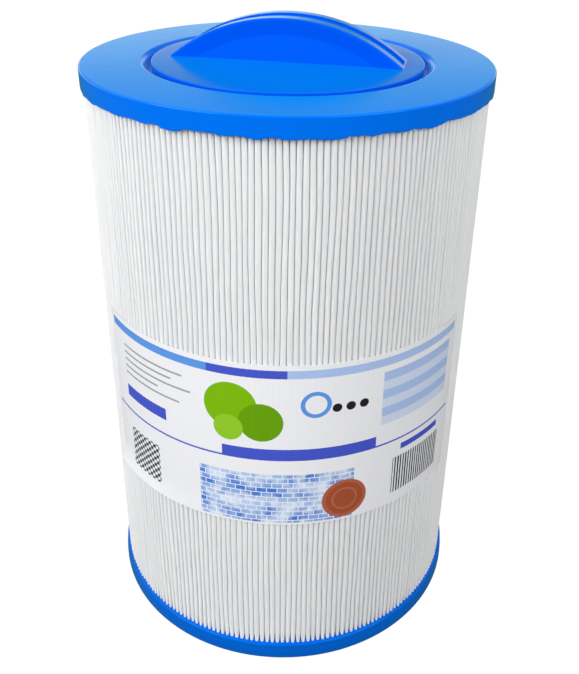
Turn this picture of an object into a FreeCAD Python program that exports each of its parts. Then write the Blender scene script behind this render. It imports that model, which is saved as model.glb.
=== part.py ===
import FreeCAD, Part
import math
import os
import re
import Sketcher
from FreeCAD import Vector

# Pleated filter cartridge for a pool or spa, in millimetres.  Z points up along the cartridge,
# the origin is the middle of the bottom cap's flat face and the handle lies along X.
#
# A pleated ring of polyester felt stands round a core of stacked lattice rings.  A cap of cast
# polyurethane closes each end: the bottom cap has the bore that slips over the filter's
# standpipe, the top cap holds a moulded plate with the lifting handle.

doc = FreeCAD.newDocument("filter_cartridge")
sheet = doc.addObject("Spreadsheet::Sheet", "Sizes")

SIZES = [
    ("length", 270, "between the flat faces of the two caps"),
    ("cap_diameter", 178, ""),
    ("cap_edge", 1, "bevel of each cap's outer corner"),
    ("rim_wall", 1.4, "cap wall outside the pleats"),
    ("top_rim_height", 8.5, "height of the top cap's side"),
    ("bottom_rim_height", 8.9, "height of the bottom cap's side"),
    ("end_cover", 5, "cap thickness over the ends of pleats and core"),
    ("bore_diameter", 52.4, "standpipe bore in the bottom cap"),
    ("bore_chamfer", 1, "lead-in of the bore"),
    ("plate_margin", 10.2, "from the handle's tips to the rim of its plate"),
    ("plate_thickness", 3.5, ""),
    ("plate_edge", 0.6, "bevel of the plate and of the handle"),
    ("groove_width", 2.5, "groove round the plate, at its foot"),
    ("groove_flare", 1.5, "how far the groove's outer wall leans out"),
    ("groove_step", 1.6, "depth of the leaning part of that wall"),
    ("spigot_length", 10, "ring under the plate, inside the core"),
    ("spigot_wall", 2.4, ""),
    ("pleat_count", 220, ""),
    ("pleat_depth", 41, "from tip to inner fold"),
    ("pleat_width", 1.9, "across one pleat at its tip"),
    ("felt_thickness", 0.5, ""),
    ("seam_inset", 4, "from the pleat tips to the seam's glue strip"),
    ("seam_width", 24, "radial width of the glue strip"),
    ("seam_turn", 90, "angle of the seam from X, in degrees"),
    ("core_wall", 2.4, ""),
    ("core_count", 4, "lattice rings in the core"),
    ("joint_length", 6, "overlap of two lattice rings"),
    ("window_columns", 12, "windows round a lattice ring"),
    ("window_rows", 2, ""),
    ("core_rib", 6, "upright rib between two windows"),
    ("core_bar", 4, "level bar between two windows"),
    ("core_band", 7.5, "plain band at each end of a lattice ring"),
    ("arch_span", 97.6, "chord of the lip's underside, on the plate"),
    ("arch_rise", 17.1, "height of that arc over its chord"),
    ("lip_height", 1.25, "front face of the lip"),
    ("band_height", 5.8, "undercut band below the lip"),
    ("lip_overhang", 1.4, "lip beyond the handle's web"),
    ("handle_width", 19, "across both lips"),
    ("handle_wall", 2.4, "wall round the hollow of the handle"),
    ("recess_width", 8.2, "shallow recess along the top of the handle"),
    ("recess_depth", 1.2, ""),
    ("recess_inset", 0.6, "from the handle's end, on the plate, to the end of the recess"),
    ("hollow_inset", 3.5, "from the plug's bore to the hollow under the handle"),
    ("hollow_cells", 4, "cells of that hollow"),
    ("stiffener", 2, "cross walls between them"),
    ("label_foot", 84.5, "height of the label's lower edge"),
    ("label_height", 83.5, ""),
    ("label_span", 123, "degrees of the label round the pleats"),
    ("label_turn", 10.1, "degrees of the label's middle from -Y towards +X"),
    ("label_thickness", 0.25, ""),
    ("pleat_gap", 0.3, "clearance of the pleats, in the cap's rim and on the core"),
    ("core_gap", 0.3, "clearance of cap and spigot in the core"),
    ("joint_gap", 0.2, "clearance between two lattice rings"),
    ("label_gap", 0.1, "clearance of the label on the pleat tips"),
    ("seam_gap", 0.03, "clearance of the glue strip in its pleat"),
]
for row, (alias, value, note) in enumerate(SIZES, start=1):
    sheet.set(f"A{row}", alias.replace("_", " "))
    sheet.set(f"B{row}", str(value))
    sheet.setAlias(f"B{row}", alias)
    sheet.set(f"C{row}", note)
doc.recompute()

ALIASES = [alias for alias, _, _ in SIZES]


def size(expression):
    """The present value of an expression over the sheet's sizes."""
    value = sheet.evalExpression(expression)
    return float(getattr(value, "Value", value))


def bound(expression):
    """The same expression as another object has to write it, with the sheet's name on each size."""
    def full_name(word):
        return f"Sizes.{word[0]}" if word[0] in ALIASES else word[0]

    return re.sub("[a-z_]+", full_name, expression)


# Radii and heights that several pieces share.
CAP_RADIUS = "(cap_diameter / 2)"
CHANNEL_RADIUS = f"({CAP_RADIUS} - rim_wall)"
TIP_RADIUS = f"({CHANNEL_RADIUS} - pleat_gap)"
FOLD_RADIUS = f"({TIP_RADIUS} - pleat_depth)"
CORE_RADIUS = f"({FOLD_RADIUS} - pleat_gap)"
CORE_FLAT = f"({CORE_RADIUS} * cos(90 / window_columns))"
CORE_BORE = f"({CORE_FLAT} - core_wall)"
PLUG_RADIUS = f"({CORE_BORE} - core_gap)"
PACK_TOP = "(length - end_cover)"
PACK_LENGTH = "(length - 2 * end_cover)"
PLATE_RADIUS = "(arch_span / 2 + plate_margin)"


def new_body(name):
    body = doc.addObject("PartDesign::Body", name)
    body.Label = name
    return body


def origin_feature(body, role):
    return next(feature for feature in body.Origin.OriginFeatures if feature.Role == role)


def new_sketch(body, name, plane, offset="0"):
    """An empty sketch on one of the body's own origin planes, offset along the plane's normal."""
    sketch = body.newObject("Sketcher::SketchObject", name)
    sketch.AttachmentSupport = [(origin_feature(body, plane), "")]
    sketch.MapMode = "FlatFace"
    sketch.setExpression("AttachmentOffset.Base.z", bound(offset))
    return sketch


def pin_point(sketch, edge, end, x, y):
    """Dimension one end of a sketch edge from the sketch's origin."""
    for kind, text in (("DistanceX", x), ("DistanceY", y)):
        index = sketch.addConstraint(Sketcher.Constraint(kind, -1, 1, edge, end, size(text)))
        sketch.setExpression(f"Constraints[{index}]", bound(text))


def add_outline(sketch, corners):
    """A closed outline of straight runs; each corner is a pair of expressions."""
    points = [Vector(size(x), size(y), 0) for x, y in corners]
    first = sketch.GeometryCount
    count = len(points)
    for index, point in enumerate(points):
        sketch.addGeometry(Part.LineSegment(point, points[(index + 1) % count]), False)
    for index, (x, y) in enumerate(corners):
        following = first + (index + 1) % count
        sketch.addConstraint(Sketcher.Constraint("Coincident", first + index, 2, following, 1))
        pin_point(sketch, first + index, 1, x, y)


def add_feature(body, kind, name, profile, **settings):
    """A PartDesign feature on a profile; text settings are expressions, others plain values."""
    feature = body.newObject(f"PartDesign::{kind}", name)
    feature.Profile = profile
    for setting, value in settings.items():
        if isinstance(value, str):
            feature.setExpression(setting, bound(value))
        else:
            setattr(feature, setting, value)
    return feature


def turn_profile(body, name, corners):
    """A body's first solid: an outline in the XZ plane turned round Z."""
    sketch = new_sketch(body, f"{name}_section", "XZ_Plane")
    add_outline(sketch, corners)
    turned = add_feature(body, "Revolution", name, sketch)
    turned.ReferenceAxis = (sketch, ["V_Axis"])
    turned.Angle = 360
    doc.recompute()
    return turned


def bevel_edges(body, name, base, width, wanted):
    """Chamfer the edges of a feature for which wanted(edge) is true."""
    edges = [f"Edge{n}" for n, edge in enumerate(base.Shape.Edges, start=1) if wanted(edge)]
    chamfer = body.newObject("PartDesign::Chamfer", name)
    chamfer.Base = (base, edges)
    chamfer.setExpression("Size", bound(width))
    doc.recompute()


def is_ring(edge, radius, height):
    """Whether an edge is the circle of that radius at that height."""
    if not isinstance(edge.Curve, Part.Circle):
        return False
    return abs(edge.Curve.Radius - radius) < 1e-4 and abs(edge.Curve.Center.z - height) < 1e-4


PARTS = []


# Bottom cap: a cast disc with the standpipe bore.  Pleats and core stand in its channel.
bottom_cap = new_body("bottom_end_cap")
bottom_disc = turn_profile(bottom_cap, "bottom_casting", [
    ("bore_diameter / 2 + bore_chamfer", "0"),
    (CAP_RADIUS, "0"),
    (CAP_RADIUS, "bottom_rim_height"),
    (CHANNEL_RADIUS, "bottom_rim_height"),
    (CHANNEL_RADIUS, "end_cover"),
    (PLUG_RADIUS, "end_cover"),
    (PLUG_RADIUS, "bottom_rim_height"),
    ("bore_diameter / 2", "bottom_rim_height"),
    ("bore_diameter / 2", "bore_chamfer"),
])
bevel_edges(bottom_cap, "bottom_edge", bottom_disc, "cap_edge",
            lambda edge: is_ring(edge, size(CAP_RADIUS), 0))
PARTS.append(bottom_cap)

# Top cap: a cast ring round the handle plate, with a groove between the two.  Its floor runs
# under the plate, over the ends of pleats and core.
GROOVE_RADIUS = f"({PLATE_RADIUS} + groove_width)"
top_cap = new_body("top_end_cap")
top_ring = turn_profile(top_cap, "top_casting", [
    (CORE_BORE, PACK_TOP),
    (CHANNEL_RADIUS, PACK_TOP),
    (CHANNEL_RADIUS, "length - top_rim_height"),
    (CAP_RADIUS, "length - top_rim_height"),
    (CAP_RADIUS, "length"),
    (f"{GROOVE_RADIUS} + groove_flare", "length"),
    (GROOVE_RADIUS, "length - groove_step"),
    (GROOVE_RADIUS, "length - plate_thickness"),
    (CORE_BORE, "length - plate_thickness"),
])
bevel_edges(top_cap, "top_edge", top_ring, "cap_edge",
            lambda edge: is_ring(edge, size(CAP_RADIUS), size("length")))
PARTS.append(top_cap)


# Core: equal lattice rings, each with a spigot that enters the ring above.  Their bars run
# straight between the upright ribs, so a ring has two flats to each column of windows.
RING_PITCH = f"(({PACK_LENGTH} - joint_length) / core_count)"
JOINT_FLAT = f"({CORE_FLAT} - core_wall / 2)"
WINDOW_HEIGHT = f"(({RING_PITCH} - 2 * core_band - (window_rows - 1) * core_bar) / window_rows)"
WINDOW_WIDTH = f"(2 * {CORE_RADIUS} * sin(180 / window_columns) - core_rib)"


def add_prism(body, kind, name, flat_radius, height, foot="0"):
    """A many-sided prism on the body's axis, measured to its flats; kind adds or subtracts it."""
    prism = body.newObject(f"PartDesign::{kind}Prism", name)
    prism.AttachmentSupport = [(origin_feature(body, "XY_Plane"), "")]
    prism.MapMode = "FlatFace"
    prism.setExpression("Polygon", bound("2 * window_columns"))
    prism.setExpression("Circumradius", bound(f"{flat_radius} / cos(90 / window_columns)"))
    prism.setExpression("Height", bound(height))
    prism.setExpression("AttachmentOffset.Base.z", bound(foot))
    doc.recompute()


def make_core_section(number):
    section = new_body(f"core_section_{number}")
    add_prism(section, "Additive", f"ring_{number}", CORE_FLAT, RING_PITCH)
    add_prism(section, "Additive", f"spigot_{number}", f"({JOINT_FLAT} - joint_gap / 2)",
              f"{RING_PITCH} + joint_length")
    add_prism(section, "Subtractive", f"bore_{number}", CORE_BORE, f"{RING_PITCH} + joint_length")
    add_prism(section, "Subtractive", f"socket_{number}", f"({JOINT_FLAT} + joint_gap / 2)",
              "joint_length + joint_gap")
    plain_volume = section.Shape.Volume
    column = new_sketch(section, f"window_column_{number}", "XZ_Plane")
    for row in range(round(size("window_rows"))):
        foot = f"(core_band + {row} * ({WINDOW_HEIGHT} + core_bar))"
        head = f"({foot} + {WINDOW_HEIGHT})"
        left, right = f"(-{WINDOW_WIDTH} / 2)", f"({WINDOW_WIDTH} / 2)"
        add_outline(column, [(left, foot), (right, foot), (right, head), (left, head)])
    window = add_feature(section, "Pocket", f"windows_{number}", column,
                         Length=f"{CORE_RADIUS} + core_wall")
    pattern = section.newObject("PartDesign::PolarPattern", f"window_ring_{number}")
    pattern.Originals = [window]
    pattern.Axis = (origin_feature(section, "Z_Axis"), [""])
    pattern.Angle = 360
    pattern.setExpression("Occurrences", bound("window_columns"))
    section.Tip = pattern
    section.setExpression("Placement.Base.z", bound(f"end_cover + {number - 1} * {RING_PITCH}"))
    doc.recompute()
    assert section.Shape.Volume < 0.8 * plain_volume, "the windows were not cut"
    return section


for number in range(1, round(size("core_count")) + 1):
    PARTS.append(make_core_section(number))


# Pleats: one band of felt, folded to and fro between the core and the caps' rims.  Each tip
# is a flat whose corners lie at the full radius.
SHOULDER = f"sqrt({TIP_RADIUS} ^ 2 - (pleat_width / 2) ^ 2)"
PITCH_ANGLE = 2 * math.pi / round(size("pleat_count"))
fold = size(FOLD_RADIUS)
felt = size("felt_thickness")
half_tip = size("pleat_width") / 2
shoulder = size(SHOULDER)


def polar(radius, angle):
    return Vector(radius * math.cos(angle), radius * math.sin(angle), 0)


def beside(radius, offset, angle):
    """The point on a radius at that angle, moved sideways by the offset."""
    return polar(radius, angle) + polar(offset, angle + math.pi / 2)


outer_side = []
inner_side = []
for pleat in range(round(size("pleat_count"))):
    valley = pleat * PITCH_ANGLE
    crest = valley + PITCH_ANGLE / 2
    outer_side += [
        polar(fold + felt, valley),
        beside(shoulder, -half_tip, crest),
        beside(shoulder, half_tip, crest),
    ]
    inner_side += [
        beside(fold, felt, valley),
        beside(shoulder - felt, felt - half_tip, crest),
        beside(shoulder - felt, half_tip - felt, crest),
        beside(fold, -felt, valley + PITCH_ANGLE),
    ]

fold_line = doc.addObject("Part::Feature", "fold_line")
closed_sides = [Part.makePolygon(side + side[:1]) for side in (outer_side, inner_side)]
fold_line.Shape = Part.makeFace(closed_sides, "Part::FaceMakerBullseye")
media = doc.addObject("Part::Extrusion", "pleated_media")
media.Label = "pleated_media"
media.Base = fold_line
media.DirMode = "Custom"
media.Dir = Vector(0, 0, 1)
media.Solid = True
media.setExpression("LengthFwd", bound(PACK_LENGTH))
media.setExpression("Placement.Base.z", bound("end_cover"))
media.setExpression("Placement.Rotation.Angle", bound("seam_turn"))
PARTS.append(media)

# Seam: a strip of hot melt glues the two ends of the felt together.  It fills one valley
# between two pleats, which narrows evenly from its mouth to the fold.
HALF_PITCH = "(180 / pleat_count)"
MOUTH_DEPTH = f"({SHOULDER} * cos({HALF_PITCH}) + pleat_width / 2 * sin({HALF_PITCH}))"
MOUTH_HALF = f"({SHOULDER} * sin({HALF_PITCH}) - pleat_width / 2 * cos({HALF_PITCH}))"
VALLEY_FOOT = f"({FOLD_RADIUS} + felt_thickness)"
VALLEY_SLOPE = f"({MOUTH_HALF} / ({MOUTH_DEPTH} - {VALLEY_FOOT}))"
SEAM_OUTSIDE = f"({TIP_RADIUS} - seam_inset)"
SEAM_INSIDE = f"({SEAM_OUTSIDE} - seam_width)"


def seam_corner(radius, side):
    return radius, f"{side} * (({radius} - {VALLEY_FOOT}) * {VALLEY_SLOPE} - seam_gap)"


seam = new_body("side_seam_strip")
seam_section = new_sketch(seam, "seam_section", "XY_Plane")
add_outline(seam_section, [
    seam_corner(SEAM_INSIDE, "-1"),
    seam_corner(SEAM_OUTSIDE, "-1"),
    seam_corner(SEAM_OUTSIDE, "1"),
    seam_corner(SEAM_INSIDE, "1"),
])
add_feature(seam, "Pad", "seam_strip", seam_section, Length=PACK_LENGTH)
seam.setExpression("Placement.Base.z", bound("end_cover"))
seam.setExpression("Placement.Rotation.Angle", bound("seam_turn"))
PARTS.append(seam)

# Label: a paper band glued round the tips of the pleats.
LABEL_INSIDE = f"({TIP_RADIUS} + label_gap)"
LABEL_OUTSIDE = f"({LABEL_INSIDE} + label_thickness)"
label = new_body("label")
label_section = new_sketch(label, "label_section", "XZ_Plane")
add_outline(label_section, [
    (LABEL_INSIDE, "label_foot"),
    (LABEL_OUTSIDE, "label_foot"),
    (LABEL_OUTSIDE, "label_foot + label_height"),
    (LABEL_INSIDE, "label_foot + label_height"),
])
label_band = add_feature(label, "Revolution", "label_band", label_section, Angle="label_span")
label_band.ReferenceAxis = (label_section, ["V_Axis"])
label_band.Midplane = True
label.setExpression("Placement.Rotation.Angle", bound("label_turn - 90"))
PARTS.append(label)


# Handle plate: one moulding.  Its disc lies flush in the top cap, a ring under it plugs the
# core, and on it stands a low arch with a lip along both sides, to be gripped from above, and
# a shallow recess along its top.  The arch's side view is drawn about one centre below the plate.
ARCH_RADIUS = "(((arch_span / 2) ^ 2 + arch_rise ^ 2) / (2 * arch_rise))"
ARCH_CENTRE = f"(length + arch_rise - {ARCH_RADIUS})"
ARCH_FOOT = "(length - plate_thickness / 2)"
CREASE_RADIUS = f"({ARCH_RADIUS} - band_height)"
CROWN_RADIUS = f"({ARCH_RADIUS} + lip_height)"
RECESS_FLOOR = f"({CROWN_RADIUS} - recess_depth)"
CROWN_HALF = f"(sqrt({CROWN_RADIUS} ^ 2 - (length - {ARCH_CENTRE}) ^ 2))"
RECESS_HALF = f"({CROWN_HALF} - recess_inset)"
WEB_HALF = "(handle_width / 2 - lip_overhang)"


def add_arc(sketch, radius, kind, right, left):
    """An arc of the arch; both ends are held by one coordinate each, DistanceX or DistanceY."""
    centre = Vector(0, size(ARCH_CENTRE), 0)
    reach = size(radius)
    if kind == "DistanceX":
        angles = [math.acos(size(end) / reach) for end in (right, left)]
    else:
        rise = math.asin((size(right) - centre.y) / reach)
        angles = [rise, math.pi - rise]
    circle = Part.Circle(centre, Vector(0, 0, 1), reach)
    arc = sketch.addGeometry(Part.ArcOfCircle(circle, angles[0], angles[1]), False)
    sketch.addConstraint(Sketcher.Constraint("PointOnObject", arc, 3, -2))
    for constraint, text in (
        (Sketcher.Constraint("DistanceY", -1, 1, arc, 3, centre.y), ARCH_CENTRE),
        (Sketcher.Constraint("Radius", arc, reach), radius),
        (Sketcher.Constraint(kind, -1, 1, arc, 1, size(right)), right),
        (Sketcher.Constraint(kind, -1, 1, arc, 2, size(left)), left),
    ):
        index = sketch.addConstraint(constraint)
        sketch.setExpression(f"Constraints[{index}]", bound(text))
    return arc


def join(sketch, start, end):
    """A straight run between two ends, each given as (edge, 1 or 2)."""
    points = [sketch.getPoint(*start), sketch.getPoint(*end)]
    line = sketch.addGeometry(Part.LineSegment(*points), False)
    sketch.addConstraint(Sketcher.Constraint("Coincident", line, 1, *start))
    sketch.addConstraint(Sketcher.Constraint("Coincident", line, 2, *end))
    return line


def arch_between(body, name, low, high, kind, right, left, offset="0"):
    """A sketch of the strip between two arcs of the arch."""
    sketch = new_sketch(body, name, "XZ_Plane", offset)
    low_arc = add_arc(sketch, low, kind, right, left)
    high_arc = add_arc(sketch, high, kind, right, left)
    join(sketch, (low_arc, 1), (high_arc, 1))
    join(sketch, (high_arc, 2), (low_arc, 2))
    return sketch


def add_cell(sketch, left, right, foot):
    """A closed cell of the hollow under the handle: flat foot, upright ends and an arched top."""
    arc = add_arc(sketch, f"({RECESS_FLOOR} - handle_wall)", "DistanceX", right, left)
    corners = [Vector(size(left), size(foot), 0), Vector(size(right), size(foot), 0)]
    floor = sketch.addGeometry(Part.LineSegment(*corners), False)
    pin_point(sketch, floor, 1, left, foot)
    pin_point(sketch, floor, 2, right, foot)
    join(sketch, (floor, 2), (arc, 1))
    join(sketch, (arc, 2), (floor, 1))


handle = new_body("handle_plate")
PLATE_FOOT = "(length - plate_thickness)"
SPIGOT_FOOT = f"({PLATE_FOOT} - spigot_length)"
SPIGOT_BORE = f"({PLUG_RADIUS} - spigot_wall)"
turn_profile(handle, "plate", [
    ("0", "length"),
    ("0", PLATE_FOOT),
    (SPIGOT_BORE, PLATE_FOOT),
    (SPIGOT_BORE, SPIGOT_FOOT),
    (PLUG_RADIUS, SPIGOT_FOOT),
    (PLUG_RADIUS, PLATE_FOOT),
    (PLATE_RADIUS, PLATE_FOOT),
    (PLATE_RADIUS, "length"),
])

web_section = new_sketch(handle, "web_section", "XZ_Plane")
web_arc = add_arc(web_section, CROWN_RADIUS, "DistanceY", ARCH_FOOT, ARCH_FOOT)
join(web_section, (web_arc, 2), (web_arc, 1))
add_feature(handle, "Pad", "web", web_section, Length=f"2 * {WEB_HALF}", Midplane=True)

band_section = arch_between(handle, "band_section", CREASE_RADIUS, CROWN_RADIUS,
                            "DistanceY", ARCH_FOOT, ARCH_FOOT, WEB_HALF)
lip_section = arch_between(handle, "lip_section", ARCH_RADIUS, CROWN_RADIUS,
                           "DistanceY", ARCH_FOOT, ARCH_FOOT, "handle_width / 2")
doc.recompute()
lip = add_feature(handle, "AdditiveLoft", "lip", band_section, Sections=[lip_section], Ruled=True)
far_lip = handle.newObject("PartDesign::Mirrored", "far_lip")
far_lip.Originals = [lip]
far_lip.MirrorPlane = (origin_feature(handle, "XZ_Plane"), [""])
handle.Tip = far_lip
doc.recompute()

recess_section = arch_between(handle, "recess_section", RECESS_FLOOR,
                               f"({CROWN_RADIUS} + recess_depth)",
                               "DistanceX", RECESS_HALF, f"-{RECESS_HALF}")
full_volume = handle.Shape.Volume
add_feature(handle, "Pocket", "recess", recess_section, Length="recess_width", Midplane=True)
doc.recompute()
assert handle.Shape.Volume < full_volume, "the recess was not cut"


def is_arch_edge(edge, radius, half_width):
    """Whether an edge is an arc of the arch, of that radius, on one of its two sides."""
    if not isinstance(edge.Curve, Part.Circle) or abs(edge.Curve.Radius - radius) > 1e-4:
        return False
    return abs(abs(edge.Curve.Center.y) - half_width) < 1e-4


def is_soft_edge(edge):
    return (
        is_ring(edge, size(PLATE_RADIUS), size("length"))
        or is_arch_edge(edge, size(CROWN_RADIUS), size("handle_width / 2"))
    )


bevel_edges(handle, "soft_edges", handle.Tip, "plate_edge", is_soft_edge)

# The arch is cored out from below, with cross walls left standing in the hollow.
HOLLOW_WIDTH = f"(2 * ({WEB_HALF} - handle_wall))"
HOLLOW_HALF = f"({SPIGOT_BORE} - hollow_inset)"
CELL_LENGTH = f"((2 * {HOLLOW_HALF} - (hollow_cells - 1) * stiffener) / hollow_cells)"
hollow_section = new_sketch(handle, "hollow_section", "XZ_Plane")
for cell in range(round(size("hollow_cells"))):
    left = f"({cell} * ({CELL_LENGTH} + stiffener) - {HOLLOW_HALF})"
    add_cell(hollow_section, left, f"({left} + {CELL_LENGTH})", PLATE_FOOT)
solid_volume = handle.Shape.Volume
add_feature(handle, "Pocket", "hollow", hollow_section, Length=HOLLOW_WIDTH, Midplane=True)
doc.recompute()
assert handle.Shape.Volume < 0.9 * solid_volume, "the handle was not hollowed"
PARTS.append(handle)

# Every object has to have been worked out, and every piece has to be one sound solid.
for thing in doc.Objects:
    faults = {"Invalid", "Error"} & set(thing.State)
    assert not faults, f"{thing.Label}: {faults}"
for part in PARTS:
    shape = part.Shape
    assert not shape.isNull() and shape.isValid() and len(shape.Solids) == 1, part.Label

os.makedirs("parts", exist_ok=True)
for part in PARTS:
    part.Shape.exportStep(f"parts/{part.Label}.step")
    print(f"{part.Label}: {part.Shape.Volume / 1000:.1f} cubic centimetres")
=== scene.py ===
import functools
import math

import bmesh
import bpy
from mathutils import Matrix, Vector, noise


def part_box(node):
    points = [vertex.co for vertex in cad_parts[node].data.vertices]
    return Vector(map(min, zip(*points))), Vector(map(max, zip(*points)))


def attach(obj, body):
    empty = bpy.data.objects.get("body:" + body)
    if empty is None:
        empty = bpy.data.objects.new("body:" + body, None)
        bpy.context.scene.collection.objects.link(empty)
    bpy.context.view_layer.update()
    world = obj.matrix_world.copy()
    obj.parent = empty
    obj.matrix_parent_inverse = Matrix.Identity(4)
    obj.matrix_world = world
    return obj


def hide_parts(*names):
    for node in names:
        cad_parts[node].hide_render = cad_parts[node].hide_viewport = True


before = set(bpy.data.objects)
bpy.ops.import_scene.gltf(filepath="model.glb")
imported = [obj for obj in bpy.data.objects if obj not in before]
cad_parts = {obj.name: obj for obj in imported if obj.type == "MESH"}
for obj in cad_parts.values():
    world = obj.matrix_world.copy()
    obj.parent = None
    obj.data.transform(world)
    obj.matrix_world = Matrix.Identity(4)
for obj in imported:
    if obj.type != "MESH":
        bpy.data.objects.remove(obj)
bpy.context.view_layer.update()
MM = 0.001


# The studio: a camera above the cartridge on the label's side, a dim room with a pale backdrop,
# a soft panel on each side of the camera and a pale table top.
CAMERA_PLACE = (71.55 * MM, -364.42 * MM, 351.78 * MM)
CAMERA_TURN = math.radians(9.6)
CAMERA_TILT = math.radians(62.7487)
CAMERA_ROLL = math.radians(1.1694)
CAMERA_LENS = 45.17
CAMERA_SHIFT = (-0.0252, -0.0813)

lens = bpy.data.cameras.new("camera")
lens.lens = CAMERA_LENS
lens.shift_x, lens.shift_y = CAMERA_SHIFT
camera = bpy.data.objects.new("camera", lens)
camera.matrix_world = (
    Matrix.Translation(CAMERA_PLACE)
    @ Matrix.Rotation(CAMERA_TURN, 4, "Z")
    @ Matrix.Rotation(CAMERA_TILT, 4, "X")
    @ Matrix.Rotation(CAMERA_ROLL, 4, "Z")
)
bpy.context.scene.collection.objects.link(camera)
bpy.context.scene.camera = camera
bpy.context.scene.view_settings.view_transform = "Standard"


def add_node(tree, kind, sockets=None, **settings):
    """Add a node with its settings; a socket is given a value or another node's output."""
    node = tree.nodes.new(kind)
    for setting, value in settings.items():
        setattr(node, setting, value)
    for key, value in (sockets or {}).items():
        if isinstance(value, bpy.types.NodeSocket):
            tree.links.new(value, node.inputs[key])
        else:
            node.inputs[key].default_value = value
    return node


def linear(colour):
    """The linear colour of a hex sRGB colour."""
    parts = [int(colour[start:start + 2], 16) / 255 for start in (1, 3, 5)]
    return (*(part / 12.92 if part <= 0.04045 else ((part + 0.055) / 1.055) ** 2.4 for part in parts), 1)


# The room's brightness by the sine of the height above the horizon: a pale backdrop that ends about
# 12 degrees up, a dark gap over it, and a softly lit ceiling.  Its left side is a little brighter,
# and the camera itself sees plain white past the table's edge.
ROOM_BANDS = [(-1, 0.4), (0.188, 1), (0.216, 0.14), (0.42, 0.14), (0.6, 0.75)]
ROOM_SIDE = Vector((-1, 0, 0))
ROOM_LEAN = 0.25

room = bpy.data.worlds.new("studio_room")
bpy.context.scene.world = room
room.use_nodes = True
tree = room.node_tree
tree.nodes.clear()
ray = add_node(tree, "ShaderNodeLightPath")
direction = add_node(tree, "ShaderNodeTexCoord")
heading = add_node(tree, "ShaderNodeSeparateXYZ", {0: direction.outputs["Generated"]})
rise = add_node(tree, "ShaderNodeMapRange", {"Value": heading.outputs["Z"], "From Min": -1})
bands = add_node(tree, "ShaderNodeValToRGB", {0: rise.outputs["Result"]})
stops = bands.color_ramp.elements
while len(stops) < len(ROOM_BANDS):
    stops.new(1)
for stop, (height, strength) in zip(stops, ROOM_BANDS):
    stop.position = (height + 1) / 2
    stop.color = (strength, strength, strength, 1)
side = add_node(tree, "ShaderNodeVectorMath", {0: direction.outputs["Generated"], 1: ROOM_SIDE},
                operation="DOT_PRODUCT")
lean = add_node(tree, "ShaderNodeMath", {0: side.outputs["Value"], 1: ROOM_LEAN, 2: 1},
                operation="MULTIPLY_ADD")
glow = add_node(tree, "ShaderNodeMath", {0: bands.outputs[0], 1: lean.outputs[0]}, operation="MULTIPLY")
lit = add_node(tree, "ShaderNodeBackground", {"Color": linear("#fffefc"), "Strength": glow.outputs[0]})
white = add_node(tree, "ShaderNodeBackground", {"Color": linear("#ffffff")})
seen = add_node(tree, "ShaderNodeMixShader", {
    0: ray.outputs["Is Camera Ray"], 1: lit.outputs[0], 2: white.outputs[0],
})
add_node(tree, "ShaderNodeOutputWorld", {"Surface": seen.outputs[0]})

# Each panel: name, place, width and power in watts.  Both face the middle of the cartridge.
PANEL_AIM = Vector((0, 0, 0.18))
PANELS = [
    ("left_panel", (-0.84, -0.84, 0.87), 0.9, 15.5),
    ("right_panel", (0.97, -0.68, 0.87), 0.9, 10.6),
]
for name, place, width, power in PANELS:
    panel = bpy.data.lights.new(name, "AREA")
    panel.size = width
    panel.energy = power
    lamp = bpy.data.objects.new(name, panel)
    aim = PANEL_AIM - Vector(place)
    lamp.matrix_world = Matrix.Translation(place) @ aim.to_track_quat("-Z", "Y").to_matrix().to_4x4()
    lamp.visible_camera = False
    bpy.context.scene.collection.objects.link(lamp)


def new_material(name):
    """A material with an empty node tree."""
    material = bpy.data.materials.new(name)
    material.use_nodes = True
    material.node_tree.nodes.clear()
    return material, material.node_tree


def new_piece(name, shape, *materials):
    """An object at the origin made from a finished bmesh, smooth but for its sharp corners."""
    mesh = bpy.data.meshes.new(name)
    shape.to_mesh(mesh)
    shape.free()
    mesh.shade_smooth()
    mesh.set_sharp_from_angle(angle=math.radians(35))
    for material in materials:
        mesh.materials.append(material)
    piece = bpy.data.objects.new(name, mesh)
    bpy.context.scene.collection.objects.link(piece)
    flats = piece.modifiers.new("even_flats", "WEIGHTED_NORMAL")
    flats.keep_sharp = True
    return piece


# Table top: a board of matt white laminate, with no gloss for the eye.  It glows for the camera
# alone, so that it throws only a little light back up at the cartridge.
TABLE_GLOW = 0.97
TABLE_HALF = 6.0

laminate, tree = new_material("white_laminate")
ray = add_node(tree, "ShaderNodeLightPath")
glow = add_node(tree, "ShaderNodeMath", {0: ray.outputs["Is Camera Ray"], 1: TABLE_GLOW},
                operation="MULTIPLY")
board = add_node(tree, "ShaderNodeBsdfPrincipled", {
    "Base Color": linear("#4a4a4a"), "Roughness": 0.7, "Specular IOR Level": 0,
    "Emission Color": linear("#ffffff"), "Emission Strength": glow.outputs[0],
})
add_node(tree, "ShaderNodeOutputMaterial", {"Surface": board.outputs[0]})

shape = bmesh.new()
bmesh.ops.create_grid(shape, x_segments=1, y_segments=1, size=TABLE_HALF)
table_top = new_piece("table_top", shape, laminate)


# Blue castings: flexible polyurethane, poured and cured in an open mould.  They are glossy, with
# a faint ripple and a few pinholes from air bubbles, drawn as dark dots of painted shade, and a thin
# bloom gives them an azure sheen.  The bottom cap takes a darker copy of the colours: painted shade
# for the weaker light near the table.
PINHOLE_SPACING = 9 * MM
PINHOLE_RADIUS = 0.35 * MM
PINHOLE_SHARE = 0.1

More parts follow.
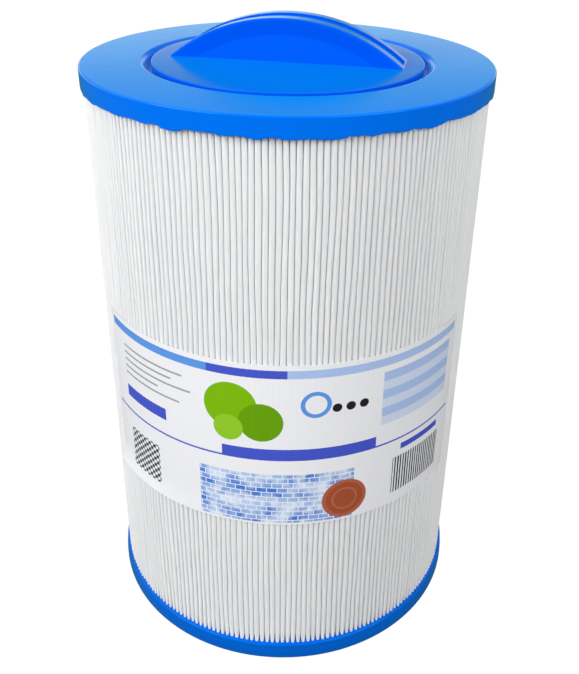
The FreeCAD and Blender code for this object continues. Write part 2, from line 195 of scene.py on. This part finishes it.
castings = {}
# The bottom copy's darker colours are painted shade, not a different pour.
for cap_copy, dark, light in (("top", "#006ce8", "#0072f2"), ("bottom", "#005cc8", "#0062d0")):
    castings[cap_copy], tree = new_material(f"cast_polyurethane_blue_{cap_copy}")
    place = add_node(tree, "ShaderNodeTexCoord").outputs["Object"]
    clouds = add_node(tree, "ShaderNodeTexNoise", {"Vector": place, "Scale": 1 / (25 * MM), "Detail": 2})
    shade = add_node(tree, "ShaderNodeMix", {
        0: clouds.outputs["Fac"], 6: linear(dark), 7: linear(light),
    }, data_type="RGBA")
    # The pinholes are painted shade: dark dots where a hole would be, with no hole cut in the surface.
    cells = add_node(tree, "ShaderNodeTexVoronoi", {"Vector": place, "Scale": 1 / PINHOLE_SPACING})
    lottery = add_node(tree, "ShaderNodeSeparateColor", {"Color": cells.outputs["Color"]})
    chosen = add_node(tree, "ShaderNodeMath", {
        0: lottery.outputs["Red"], 1: 1 - PINHOLE_SHARE,
    }, operation="GREATER_THAN")
    near = add_node(tree, "ShaderNodeMath", {
        0: cells.outputs["Distance"], 1: PINHOLE_RADIUS / PINHOLE_SPACING,
    }, operation="LESS_THAN")
    pinhole_shade = add_node(tree, "ShaderNodeMath", {0: chosen.outputs[0], 1: near.outputs[0]},
                       operation="MULTIPLY")
    pinhole_shaded = add_node(tree, "ShaderNodeMix", {
        0: pinhole_shade.outputs[0], 6: shade.outputs[2], 7: linear("#062a5c"),
    }, data_type="RGBA")
    ripple = add_node(tree, "ShaderNodeTexNoise", {"Vector": place, "Scale": 1 / (6 * MM), "Detail": 3})
    skin = add_node(tree, "ShaderNodeBump", {
        "Height": ripple.outputs["Fac"], "Distance": 0.12 * MM, "Strength": 0.35,
    })
    casting = add_node(tree, "ShaderNodeBsdfPrincipled", {
        "Base Color": pinhole_shaded.outputs[2], "Roughness": 0.16, "IOR": 1.5,
        "Specular Tint": linear("#3a9aff"), "Normal": skin.outputs[0],
        "Sheen Weight": 0.35, "Sheen Roughness": 0.35, "Sheen Tint": linear("#10ffb8"),
    })
    add_node(tree, "ShaderNodeOutputMaterial", {"Surface": casting.outputs[0]})


def turned(outline, steps, closed=True):
    """A solid turned round Z from (radius, height, rounding) corners in millimetres."""
    shape = bmesh.new()
    corners = [shape.verts.new((radius * MM, 0, height * MM)) for radius, height, _ in outline]
    pairs = zip(corners, corners[1:] + corners[:1]) if closed else zip(corners, corners[1:])
    for start, end in pairs:
        shape.edges.new((start, end))
    for corner, (_, _, rounding) in zip(corners, outline):
        if rounding:
            bmesh.ops.bevel(shape, geom=[corner], offset=rounding * MM, offset_type="OFFSET",
                            affect="VERTICES", segments=5, profile=0.5, material=-1)
    bmesh.ops.spin(shape, geom=shape.verts[:] + shape.edges[:], axis=(0, 0, 1), cent=(0, 0, 0),
                   steps=steps, angle=math.tau, use_merge=True)
    bmesh.ops.remove_doubles(shape, verts=shape.verts[:], dist=0.001 * MM)
    bmesh.ops.recalc_face_normals(shape, faces=shape.faces[:])
    return shape


def top_of(node):
    """The far corner of a CAD node's box, in millimetres."""
    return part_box(node)[1] / MM


# Bottom end cap: polyurethane poured round the feet of pleats and core.  Its skin climbs between
# the pleats, and its middle has the bore that slips over the standpipe.
CAP_RADIUS = top_of("bottom_end_cap").x
BOTTOM_RIM = top_of("bottom_end_cap").z
BORE_RADIUS = 26.2
CORE_RADIUS = 46.0
PLEATS = 220

outline = [
    (BORE_RADIUS + 1, 0, 0.3),
    (CAP_RADIUS, 0, 1.0),
    (CAP_RADIUS, 4.4, 0.8),
    (CAP_RADIUS - 0.35, 6.4, 0.6),
    (CAP_RADIUS - 0.4, BOTTOM_RIM, 1.0),
    (CAP_RADIUS - 1.7, BOTTOM_RIM - 0.2, 0.5),
    (CAP_RADIUS - 3.2, BOTTOM_RIM + 0.4, 0.8),
    (CAP_RADIUS - 5.0, BOTTOM_RIM + 1.6, 0),
    (CORE_RADIUS + 1.2, BOTTOM_RIM + 1.0, 0),
    (CORE_RADIUS - 4.5, BOTTOM_RIM, 0.4),
    (BORE_RADIUS, BOTTOM_RIM, 0.6),
    (BORE_RADIUS, 1, 0.3),
]
bottom_cap = new_piece("bottom_cap_casting", turned(outline, 2 * PLEATS), castings["bottom"])
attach(bottom_cap, "root")
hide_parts("bottom_end_cap")


# Pleated media: one band of spunbonded polyester felt, folded into pleats with soft round tips.
# It is pushed round the core by hand, so the pleats stand a little unevenly, and both castings
# grip its ends.
PITCH = math.tau / PLEATS
SEAM_ANGLE = math.radians(90)
FELT = 0.5
TIP_RADIUS = top_of("pleated_media").x
FOLD_RADIUS = CORE_RADIUS + 0.3
PACK_FOOT, PACK_HEAD = (corner.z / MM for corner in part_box("pleated_media"))
RIM_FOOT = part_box("top_end_cap")[0].z / MM
LABEL_FOOT, LABEL_HEAD = (corner.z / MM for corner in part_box("label"))
LABEL_SPAN = math.radians(123)
LABEL_MIDDLE = math.radians(10.1 - 90)
LABEL_MARGIN = 3

# How unevenly the pleats stand, in millimetres: their lean sideways, part of it shared with the
# neighbours, and the fullness and dents of their tips.  Less of the lean is left where the castings
# grip them, and less of the dents under the label.
NOISE_GAIN = 1.8
SHARED_LEAN, OWN_LEAN = 0.65, 0.34
FULLNESS = 0.14
TIP_DENT = 0.27
GRIP_REACH = 25
GRIPPED_LEAN = 0.35
DENT_UNDER_LABEL = 0.2


def unevenness(pleat, height, slow, seed):
    """Smooth chance between -1 and 1, its own for each pleat, that changes slowly with height."""
    return noise.noise(Vector((pleat * 7.31, height / slow, seed))) * NOISE_GAIN


def drift(angle, height, seed):
    """Smooth chance between -1 and 1 that neighbouring pleats share."""
    around = Vector((math.cos(angle) * 5, math.sin(angle) * 5, height / 70 + seed))
    return noise.noise(around) * NOISE_GAIN


# One pleat in section, as (depth below the crest, half width): a narrow crest with flanks that
# part from their neighbours near the outside and touch them further in.  The felt is a little
# thicker at the crest.
TIP_FLANK = [(0.06, 0.46), (0.21, 0.78), (0.47, 1.02), (1.0, 1.2)]
CREST_THICKENING = 0.15
felt_shape = bmesh.new()


def felt_corner(radius, sideways, turn=0.0):
    """A corner of the fold line beside the crest at angle 0, in millimetres."""
    return felt_shape.verts.new(
        Matrix.Rotation(turn, 3, "Z") @ Vector((radius * MM, sideways * MM, 0)))


right_flank = [felt_corner(TIP_RADIUS - depth, -half) for depth, half in reversed(TIP_FLANK)]
crest = felt_corner(TIP_RADIUS, 0)
left_flank = [felt_corner(TIP_RADIUS - depth, half) for depth, half in TIP_FLANK]
valley_right = felt_corner(FOLD_RADIUS + FELT, 0, -PITCH / 2)
valley_left = felt_corner(FOLD_RADIUS + FELT, 0, PITCH / 2)
fold_right = felt_corner(FOLD_RADIUS, FELT, -PITCH / 2)
fold_left = felt_corner(FOLD_RADIUS, -FELT, PITCH / 2)
fold_next = felt_corner(FOLD_RADIUS, FELT, PITCH / 2)
lining_depth, lining_half = TIP_FLANK[-1][0], TIP_FLANK[-1][1] - FELT
lining_crest = felt_corner(TIP_RADIUS - FELT - CREST_THICKENING, 0)
lining_right = felt_corner(TIP_RADIUS - lining_depth, -lining_half)
lining_left = felt_corner(TIP_RADIUS - lining_depth, lining_half)
felt_shape.faces.new((valley_right, right_flank[0], lining_right, fold_right))
felt_shape.faces.new((*right_flank, crest, lining_crest, lining_right))
felt_shape.faces.new((crest, *left_flank, lining_left, lining_crest))
felt_shape.faces.new((left_flank[-1], valley_left, fold_left, lining_left))
felt_shape.faces.new((valley_left, fold_next, fold_left))
bmesh.ops.rotate(felt_shape, verts=felt_shape.verts[:], cent=(0, 0, 0),
                 matrix=Matrix.Rotation(SEAM_ANGLE + PITCH / 2, 3, "Z"))
bmesh.ops.spin(felt_shape, geom=felt_shape.verts[:] + felt_shape.edges[:] + felt_shape.faces[:],
               axis=(0, 0, 1), cent=(0, 0, 0), steps=PLEATS - 1, angle=math.tau - PITCH,
               use_duplicate=True)
bmesh.ops.remove_doubles(felt_shape, verts=felt_shape.verts[:], dist=0.002 * MM)
bmesh.ops.translate(felt_shape, verts=felt_shape.verts[:], vec=(0, 0, PACK_FOOT * MM))

# The pleat ring is drawn upwards from row to row, with closer rows near the castings.
END_STEPS = (0, 2, 6, 14)
MIDDLE_ROWS = 20
low, high = BOTTOM_RIM + END_STEPS[-1], RIM_FOOT - END_STEPS[-1]
levels = [BOTTOM_RIM + step for step in END_STEPS]
levels += [low + (high - low) * row / MIDDLE_ROWS for row in range(1, MIDDLE_ROWS)]
levels += [RIM_FOOT - step for step in reversed(END_STEPS)] + [PACK_HEAD]
below = PACK_FOOT
top_faces = felt_shape.faces[:]
for height in levels:
    raised = bmesh.ops.extrude_face_region(felt_shape, geom=top_faces)["geom"]
    if below > PACK_FOOT:
        bmesh.ops.delete(felt_shape, geom=top_faces, context="FACES")
    top_faces = [part for part in raised if isinstance(part, bmesh.types.BMFace)]
    bmesh.ops.translate(felt_shape, vec=(0, 0, (height - below) * MM),
                        verts=[part for part in raised if isinstance(part, bmesh.types.BMVert)])
    below = height


@functools.cache
def pleat_habit(pleat, height):
    """How far a pleat leans sideways, how full its tip is and how far that is pushed in."""
    crest = SEAM_ANGLE + (pleat + 0.5) * PITCH
    free = min(1.0, (height - PACK_FOOT) / GRIP_REACH, (PACK_HEAD - height) / GRIP_REACH)
    lean = SHARED_LEAN * drift(crest, height, 0) + OWN_LEAN * unevenness(pleat, height, 24, 3.7)
    fullness = FULLNESS * unevenness(pleat, height, 50, 8.1)
    dent = TIP_DENT * abs(unevenness(pleat, height, 80, 5.2))
    under_label = abs(math.remainder(crest - LABEL_MIDDLE, math.tau)) < LABEL_SPAN / 2
    if under_label and LABEL_FOOT - LABEL_MARGIN < height < LABEL_HEAD + LABEL_MARGIN:
        dent *= DENT_UNDER_LABEL
    return lean * (GRIPPED_LEAN + (1 - GRIPPED_LEAN) * free), fullness, dent


FOOT_PINCH, FOOT_PINCH_REACH = 0.32, 6
HEAD_PINCH, HEAD_PINCH_REACH = 0.1, 12
CREST_ZONE = 6


@functools.cache
def pinch(height):
    """How much narrower the tips are where the castings grip them."""
    from_foot = min(1.0, max(0.0, (height - BOTTOM_RIM) / FOOT_PINCH_REACH))
    from_head = min(1.0, max(0.0, (RIM_FOOT - height) / HEAD_PINCH_REACH))
    return FOOT_PINCH * (1 - from_foot) ** 1.5 + HEAD_PINCH * (1 - from_head) ** 1.5


for corner in felt_shape.verts:
    radius = corner.co.xy.length / MM
    angle = math.atan2(corner.co.y, corner.co.x)
    height = round(corner.co.z / MM, 3)
    pleat = math.floor(((angle - SEAM_ANGLE) / PITCH) % PLEATS)
    crest = SEAM_ANGLE + (pleat + 0.5) * PITCH
    side = math.remainder(angle - crest, math.tau) / (PITCH / 2)
    outward = (radius - FOLD_RADIUS) / (TIP_RADIUS - FOLD_RADIUS)
    lean, fullness, dent = pleat_habit(pleat, height)
    next_lean = pleat_habit((pleat + (1 if side > 0 else -1)) % PLEATS, height)[0]
    sideways = (lean + (next_lean - lean) * abs(side) / 2) * outward ** 2
    if radius > TIP_RADIUS - CREST_ZONE:
        sideways += fullness * math.sin(math.pi * side) - pinch(height) * side * PITCH / 2 * radius
    turn = sideways / radius
    reach = (radius - dent * outward ** 4) * MM
    corner.co.x = reach * math.cos(angle + turn)
    corner.co.y = reach * math.sin(angle + turn)
bmesh.ops.recalc_face_normals(felt_shape, faces=felt_shape.faces[:])

# The felt's look: matt white fibres that let light through, so that the valleys stay pale.  The
# nap is drawn coarser than the real fibres, at 0.9 mm, so that it shows.
spunbond_felt, tree = new_material("spunbond_polyester_felt")
place = add_node(tree, "ShaderNodeTexCoord").outputs["Object"]
fibres = add_node(tree, "ShaderNodeTexNoise", {"Vector": place, "Scale": 1 / (0.9 * MM), "Detail": 3})
weight = add_node(tree, "ShaderNodeTexNoise", {"Vector": place, "Scale": 1 / (14 * MM), "Detail": 2})
body = add_node(tree, "ShaderNodeMix", {
    0: weight.outputs["Fac"], 6: linear("#eff3fd"), 7: linear("#eaeffa"),
}, data_type="RGBA")
nap = add_node(tree, "ShaderNodeBump", {
    "Height": fibres.outputs["Fac"], "Distance": 0.15 * MM, "Strength": 0.5,
})
felt_skin = add_node(tree, "ShaderNodeBsdfPrincipled", {
    "Base Color": body.outputs[2], "Roughness": 0.9, "Specular IOR Level": 0.2, "Normal": nap.outputs[0],
    "Subsurface Weight": 0.85, "Subsurface Radius": (0.85, 0.9, 1.1), "Subsurface Scale": 2 * MM,
})
add_node(tree, "ShaderNodeOutputMaterial", {"Surface": felt_skin.outputs[0]})

pleats = new_piece("pleated_felt", felt_shape, spunbond_felt)
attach(pleats, "root")
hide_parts("pleated_media")


# Top end cap: the same casting, poured the other way up round the handle plate.  Its lower edge
# ran a little further down some pleats than others.
TOP = top_of("top_end_cap").z
PLATE_RADIUS = top_of("handle_plate").x
GROOVE = 2.5
GROOVE_FLARE = 1.5
GROOVE_STEP = 1.6
PLATE_THICK = 3.5
RUN_DOWN = 0.9
RUN_HEIGHT, RUN_DEPTH = 3, 3

outline = [
    (CORE_RADIUS - 2.8, PACK_HEAD, 0),
    (CORE_RADIUS + 0.8, RIM_FOOT + 2.0, 0),
    (CAP_RADIUS - 6.0, RIM_FOOT + 1.6, 0),
    (CAP_RADIUS - 2.4, RIM_FOOT + 0.7, 0.4),
    (CAP_RADIUS - 1.3, RIM_FOOT, 0.4),
    (CAP_RADIUS, RIM_FOOT, 0.5),
    (CAP_RADIUS, RIM_FOOT + 3.5, 0),
    (CAP_RADIUS, TOP, 0.9),
    (PLATE_RADIUS + GROOVE + GROOVE_FLARE, TOP, 0.5),
    (PLATE_RADIUS + GROOVE, TOP - GROOVE_STEP, 0.5),
    (PLATE_RADIUS + GROOVE, TOP - PLATE_THICK, 0.3),
    (CORE_RADIUS - 2.8, TOP - PLATE_THICK, 0),
]
top_shape = turned(outline, 4 * PLEATS)

# The lower edge: long waves and short ones, a few sudden steps, and a small rise at pleat tips.
for corner in top_shape.verts:
    radius = corner.co.xy.length / MM
    height = corner.co.z / MM
    if radius > CAP_RADIUS - RUN_DEPTH and height < RIM_FOOT + RUN_HEIGHT:
        angle = math.atan2(corner.co.y, corner.co.x)
        around = Vector((math.cos(angle), math.sin(angle), 0))
        run = noise.noise(around * 7.5) * 1.1 + noise.noise(around * 22) * 0.5
        run += 0.35 * math.tanh(9 * noise.noise(around * 11 + Vector((0, 0, 5))))
        over_tip = abs(math.sin((angle - SEAM_ANGLE) / PITCH * math.pi))
        run += (0.25 + noise.noise(around * 30) * 0.4) * (over_tip - 0.5)
        corner.co.z += RUN_DOWN * run * MM * (RIM_FOOT + RUN_HEIGHT - height) / RUN_HEIGHT
top_cap = new_piece("top_cap_casting", top_shape, castings["top"])
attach(top_cap, "root")
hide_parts("top_end_cap")


# Handle plate: injection moulded in one piece from blue plastic, in a polished mould.  A low arch
# with a lip along both sides stands on the disc, to be gripped from above.  A shallow recess runs
# along its top, and it is cored out from below in four cells.
SPAN, RISE = 97.6, 17.1
LIP_FACE, BAND, OVERHANG = 1.25, 5.8, 1.4
ARCH_ROOT = 4
HANDLE_WIDTH = 19.0
HANDLE_WALL = 2.4
RECESS_WIDTH, RECESS_DEPTH, RECESS_INSET = 8.2, 1.2, 0.6
ARCH_RADIUS = ((SPAN / 2) ** 2 + RISE ** 2) / (2 * RISE)
ARCH_CENTRE = TOP + RISE - ARCH_RADIUS
CROWN_RADIUS = ARCH_RADIUS + LIP_FACE
PLUG_RADIUS = 42.9
SPIGOT_WALL = 2.4
SPIGOT_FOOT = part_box("handle_plate")[0].z / MM
PLATE_FOOT = TOP - PLATE_THICK
END_WALL = 3.5
HOLLOW_HALF = PLUG_RADIUS - SPIGOT_WALL - END_WALL
CELLS, CELL_GAP = 4, 2.0
RECESS_STEPS, PAST_STEPS = 80, 3

# The arch: half of its section as (half width, radius, rounding), mirrored and spun in an arc
# that runs a few steps past each end of the recess.
web_half = HANDLE_WIDTH / 2 - OVERHANG
half_section = [
    (web_half, ARCH_RADIUS - RISE - ARCH_ROOT, 0),
    (web_half, ARCH_RADIUS - BAND, 0.3),
    (HANDLE_WIDTH / 2, ARCH_RADIUS, 0.2),
    (HANDLE_WIDTH / 2, CROWN_RADIUS, 0.45),
    (RECESS_WIDTH / 2, CROWN_RADIUS, 0),
]
section = half_section + [(-y, radius, rounding) for y, radius, rounding in reversed(half_section)]
shape = bmesh.new()
corners = [shape.verts.new((0, y * MM, (ARCH_CENTRE + radius) * MM)) for y, radius, _ in section]
shape.faces.new(corners)
for corner, (_, _, rounding) in zip(corners, section):
    if rounding:
        bmesh.ops.bevel(shape, geom=[corner], offset=rounding * MM, offset_type="OFFSET",
                        affect="VERTICES", segments=4, profile=0.5, material=-1)
crown_half = math.sqrt(CROWN_RADIUS ** 2 - (TOP - ARCH_CENTRE) ** 2)
recess_reach = math.asin((crown_half - RECESS_INSET) / CROWN_RADIUS)
arch_steps = RECESS_STEPS + 2 * PAST_STEPS
arch_reach = recess_reach * arch_steps / RECESS_STEPS
arch_axis = Vector((0, 0, ARCH_CENTRE * MM))
bmesh.ops.rotate(shape, verts=shape.verts[:], cent=arch_axis,
                 matrix=Matrix.Rotation(-arch_reach, 3, "Y"))
bmesh.ops.spin(shape, geom=shape.verts[:] + shape.edges[:] + shape.faces[:], cent=arch_axis,
               axis=(0, 1, 0), steps=arch_steps, angle=2 * arch_reach)
bmesh.ops.recalc_face_normals(shape, faces=shape.faces[:])

# The recess: the middle strip of the crown, sunk towards the arch's axis.
strip = []
for face in shape.faces:
    middle = face.calc_center_median() - arch_axis
    reach = abs(math.atan2(middle.x, middle.z))
    if face.normal.z > 0.5 and abs(middle.y) < RECESS_WIDTH / 2 * MM and reach < recess_reach:
        strip.append(face)
for part in bmesh.ops.extrude_face_region(shape, geom=strip)["geom"]:
    if isinstance(part, bmesh.types.BMVert):
        outward = part.co - arch_axis
        outward.y = 0
        part.co -= outward.normalized() * RECESS_DEPTH * MM
bmesh.ops.delete(shape, geom=strip, context="FACES")
bmesh.ops.bisect_plane(shape, geom=shape.verts[:] + shape.edges[:] + shape.faces[:],
                       plane_co=(0, 0, TOP * MM), plane_no=(0, 0, 1), clear_inner=True)

# The cells: arched ceilings with their walls drawn down to the underside of the plate.
cell_length = (2 * HOLLOW_HALF - (CELLS - 1) * CELL_GAP) / CELLS
cell_width = 2 * (web_half - HANDLE_WALL)
ceiling_radius = CROWN_RADIUS - RECESS_DEPTH - HANDLE_WALL
for cell in range(CELLS):
    middle = (cell - (CELLS - 1) / 2) * (cell_length + CELL_GAP)
    ceiling = bmesh.ops.create_grid(shape, x_segments=12, y_segments=1, size=0.5)["verts"]
    bmesh.ops.scale(shape, verts=ceiling, vec=(cell_length * MM, cell_width * MM, 1))
    bmesh.ops.translate(shape, verts=ceiling, vec=(middle * MM, 0, 0))
    for corner in ceiling:
        corner.co.z = ARCH_CENTRE * MM + math.sqrt((ceiling_radius * MM) ** 2 - corner.co.x ** 2)
    edges = {edge for corner in ceiling for edge in corner.link_edges if edge.is_boundary}
    for part in bmesh.ops.extrude_edge_only(shape, edges=list(edges))["geom"]:
        if isinstance(part, bmesh.types.BMVert):
            part.co.z = PLATE_FOOT * MM

# The plate: rim and plug are turned, and both flat faces are filled in between the edges.
plate_shape = turned([
    (PLATE_RADIUS - 2, TOP, 0),
    (PLATE_RADIUS, TOP, 0.5),
    (PLATE_RADIUS, PLATE_FOOT, 0.2),
    (PLUG_RADIUS, PLATE_FOOT, 0.2),
    (PLUG_RADIUS, SPIGOT_FOOT, 0.5),
    (PLUG_RADIUS - SPIGOT_WALL, SPIGOT_FOOT, 0.5),
    (PLUG_RADIUS - SPIGOT_WALL, PLATE_FOOT, 0.3),
    (PLUG_RADIUS - SPIGOT_WALL - 1, PLATE_FOOT, 0),
], 240, closed=False)
plate_rim = bpy.data.meshes.new("plate_rim")
plate_shape.to_mesh(plate_rim)
plate_shape.free()
shape.from_mesh(plate_rim)
bpy.data.meshes.remove(plate_rim)
for height in (TOP, PLATE_FOOT):
    edges = [edge for edge in shape.edges
             if edge.is_boundary and abs(edge.verts[0].co.z - height * MM) < 0.01 * MM]
    bmesh.ops.triangle_fill(shape, use_beauty=True, edges=edges, normal=(0, 0, 1))
bmesh.ops.recalc_face_normals(shape, faces=shape.faces[:])

# The moulding's look: the polished mould makes it glossier than the castings, with faint sink
# marks, under a thinner bloom.
moulded_plastic, tree = new_material("polished_moulded_plastic_blue")
place = add_node(tree, "ShaderNodeTexCoord").outputs["Object"]
flow = add_node(tree, "ShaderNodeTexNoise", {"Vector": place, "Scale": 1 / (18 * MM), "Detail": 2})
shade = add_node(tree, "ShaderNodeMix", {
    0: flow.outputs["Fac"], 6: linear("#0057d6"), 7: linear("#005adc"),
}, data_type="RGBA")
sink = add_node(tree, "ShaderNodeBump", {
    "Height": flow.outputs["Fac"], "Distance": 0.08 * MM, "Strength": 0.3,
})
moulding = add_node(tree, "ShaderNodeBsdfPrincipled", {
    "Base Color": shade.outputs[2], "Roughness": 0.12, "IOR": 1.5,
    "Specular Tint": linear("#3a9aff"), "Normal": sink.outputs[0],
    "Sheen Weight": 0.28, "Sheen Roughness": 0.35, "Sheen Tint": linear("#10ffb8"),
})
add_node(tree, "ShaderNodeOutputMaterial", {"Surface": moulding.outputs[0]})

handle = new_piece("handle_moulding", shape, moulded_plastic)
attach(handle, "root")
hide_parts("handle_plate")


# Label: coated paper, printed with plain stripes and shapes and glued round the pleat tips.
# The tips press through it in faint ribs, and its lower left edge has come away.
LABEL_INSIDE = 87.42
PAPER = 0.12
RIB_HEIGHT = 0.06
LOOSE_LIFT, LOOSE_ALONG, LOOSE_UP = 1.6, 0.35, 0.12
label_length = LABEL_SPAN * LABEL_INSIDE
label_height = LABEL_HEAD - LABEL_FOOT

shape = bmesh.new()
shape.loops.layers.uv.new("print")
bmesh.ops.create_grid(shape, x_segments=330, y_segments=34, size=0.5, calc_uvs=True)
for corner in shape.verts:
    along, up = corner.co.x + 0.5, corner.co.y + 0.5
    angle = LABEL_MIDDLE + (along - 0.5) * LABEL_SPAN
    height = LABEL_FOOT + up * label_height
    crest_phase = (angle - SEAM_ANGLE) / PITCH * math.tau
    rib = RIB_HEIGHT * (1 - math.cos(crest_phase)) * (0.6 + 0.4 * drift(angle, height, 4))
    lift = LOOSE_LIFT * max(0.0, 1 - along / LOOSE_ALONG) * max(0.0, 1 - up / LOOSE_UP) ** 1.5
    radius = (LABEL_INSIDE + PAPER + rib + lift) * MM
    corner.co = (radius * math.cos(angle), radius * math.sin(angle), height * MM)
shape.normal_update()
bmesh.ops.solidify(shape, geom=shape.faces[:], thickness=PAPER * MM)
bmesh.ops.recalc_face_normals(shape, faces=shape.faces[:])

# The label's look: coated paper, half gloss, printed in flat inks.
coated_paper, tree = new_material("coated_label_paper")
sheet_map = add_node(tree, "ShaderNodeUVMap", uv_map="print")
spot = add_node(tree, "ShaderNodeMapping", {
    "Vector": sheet_map.outputs[0], "Scale": (label_length, label_height, 1),
})
on_label = add_node(tree, "ShaderNodeSeparateXYZ", {0: spot.outputs[0]})
across, up = on_label.outputs["X"], on_label.outputs["Y"]


def strip_mask(place, low, high):
    """1 where a coordinate on the label, in millimetres, lies between two values."""
    return add_node(tree, "ShaderNodeMath", {0: place, 1: (low + high) / 2, 2: (high - low) / 2},
                    operation="COMPARE").outputs[0]


def block_mask(left, foot, right, head):
    """1 inside an upright rectangle."""
    return add_node(tree, "ShaderNodeMath", {
        0: strip_mask(across, left, right), 1: strip_mask(up, foot, head),
    }, operation="MULTIPLY").outputs[0]


def inked(so_far, mask, ink):
    """The print so far with another ink over it where the mask is 1."""
    return add_node(tree, "ShaderNodeMix", {0: mask, 6: so_far, 7: ink}, data_type="RGBA").outputs[2]


# The print, in millimetres from the lower left corner: blocks and fields as (left, foot, right,
# head), and discs as (across, up, radius).
INDIGO, SKY, PALE, MIST = "#4456ca", "#5b97e5", "#abc4ee", "#d1def3"
WHITE, GREY, BLACK = "#eff0f4", "#9a9b9f", "#1c1d22"
RUSSET = "#a34f2e"
BLOCKS = [
    (2, 77.1, 62, 81, SKY), (62, 77.1, 96, 81, INDIGO), (96, 77.1, 185.5, 81, PALE),
    (138, 69.5, 181, 74, PALE), (138, 65, 181, 69.5, MIST), (138, 60.5, 181, 65, PALE),
    (138, 56, 181, 60.5, MIST), (138, 51.5, 181, 56, PALE), (138, 47, 181, 51.5, MIST),
    (2, 35.6, 185.5, 36.5, INDIGO), (68, 36, 136, 41.6, INDIGO), (12, 44, 40, 50, INDIGO),
    (12, 70.4, 50, 71.3, GREY), (12, 66.9, 44, 67.8, GREY), (12, 63.4, 54, 64.3, GREY),
    (12, 59.9, 36, 60.8, GREY), (12, 56.4, 48, 57.3, GREY), (150, 29.4, 176, 32.6, INDIGO),
]
DISCS = [
    (72, 62, 11.5, "#7ab700"), (85, 55, 9.5, "#659f00"), (71, 51, 6.5, "#8fc62a"),
    (108, 64, 6.5, SKY), (108, 64, 4.6, WHITE), (117, 61.5, 2.1, BLACK), (123, 61.5, 2.1, BLACK),
    (129, 61.5, 2.1, BLACK),
]
SEAL = [
    (122, 12, 10.4, "#b35f43"), (122, 12, 8.6, RUSSET), (122, 12, 6, "#b8694c"), (122, 12, 5.2, RUSSET),
]
MOSAIC = (57, 1.2, 126, 28)
CHECKS, CHECK_SIZE = (13, 6, 34, 27), 1.75
HATCH, HATCH_PITCH, HATCH_BAR = (146, 6, 178, 26), 1.6, 0.8

ink = linear(WHITE)
for left, foot, right, head, colour in BLOCKS:
    ink = inked(ink, block_mask(left, foot, right, head), linear(colour))
tone = add_node(tree, "ShaderNodeTexNoise", {"Vector": spot.outputs[0], "Scale": 0.13, "Detail": 2})
pool = add_node(tree, "ShaderNodeValToRGB", {0: tone.outputs["Fac"]})
pool.color_ramp.elements[0].position = 0.36
pool.color_ramp.elements[0].color = linear("#3f78d2")
pool.color_ramp.elements[1].position = 0.62
pool.color_ramp.elements[1].color = linear("#dbe8fa")
tiles = add_node(tree, "ShaderNodeTexBrick", {
    "Vector": spot.outputs[0], "Color1": pool.outputs[0], "Color2": linear("#8cb2e8"),
    "Mortar": linear("#eef4fc"), "Scale": 1, "Mortar Size": 0.22, "Bias": -0.35,
    "Brick Width": 4.6, "Row Height": 2.6,
})
ink = inked(ink, block_mask(*MOSAIC), tiles.outputs["Color"])
squares = add_node(tree, "ShaderNodeTexChecker", {
    "Vector": spot.outputs[0], "Color1": linear(BLACK), "Color2": linear(WHITE), "Scale": 1 / CHECK_SIZE,
})
ink = inked(ink, block_mask(*CHECKS), squares.outputs["Color"])
comb = add_node(tree, "ShaderNodeMath", {0: across, 1: HATCH_PITCH}, operation="MODULO")
tooth = add_node(tree, "ShaderNodeMath", {0: comb.outputs[0], 1: HATCH_BAR}, operation="LESS_THAN")
bars = add_node(tree, "ShaderNodeMath", {0: tooth.outputs[0], 1: block_mask(*HATCH)},
                operation="MULTIPLY")
ink = inked(ink, bars.outputs[0], linear(BLACK))
for x, y, radius, colour in DISCS + SEAL:
    away = add_node(tree, "ShaderNodeVectorMath", {0: spot.outputs[0], 1: (x, y, 0)},
                    operation="DISTANCE")
    inside = add_node(tree, "ShaderNodeMath", {0: away.outputs["Value"], 1: radius},
                      operation="LESS_THAN")
    ink = inked(ink, inside.outputs[0], linear(colour))
paper_skin = add_node(tree, "ShaderNodeBsdfPrincipled", {
    "Base Color": ink, "Roughness": 0.38, "IOR": 1.45,
})
add_node(tree, "ShaderNodeOutputMaterial", {"Surface": paper_skin.outputs[0]})

label = new_piece("paper_label", shape, coated_paper)
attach(label, "root")
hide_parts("label")


# Core: four lattice rings, moulded from white polypropylene and snapped end to end, that keep the
# pleats from collapsing inwards.  The plastic is waxy and half gloss.  The CAD solids stay as they
# are and only take this finish.
polypropylene, tree = new_material("moulded_polypropylene_white")
place = add_node(tree, "ShaderNodeTexCoord").outputs["Object"]
haze = add_node(tree, "ShaderNodeTexNoise", {"Vector": place, "Scale": 1 / (8 * MM), "Detail": 2})
shade = add_node(tree, "ShaderNodeMix", {
    0: haze.outputs["Fac"], 6: linear("#eef0f2"), 7: linear("#e2e6ea"),
}, data_type="RGBA")
plastic = add_node(tree, "ShaderNodeBsdfPrincipled", {
    "Base Color": shade.outputs[2], "Roughness": 0.42, "IOR": 1.49,
})
add_node(tree, "ShaderNodeOutputMaterial", {"Surface": plastic.outputs[0]})

# Side seam: a strip of hot melt glue, run into one valley at the back, that joins the two ends of
# the felt.  It is milky and smooth.
hot_melt, tree = new_material("hot_melt_glue")
glue = add_node(tree, "ShaderNodeBsdfPrincipled", {
    "Base Color": linear("#ece6d2"), "Roughness": 0.3, "IOR": 1.48,
})
add_node(tree, "ShaderNodeOutputMaterial", {"Surface": glue.outputs[0]})

for name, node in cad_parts.items():
    if name.startswith("core_section"):
        node.material_slots[0].material = polypropylene
    elif name == "side_seam_strip":
        node.material_slots[0].material = hot_melt
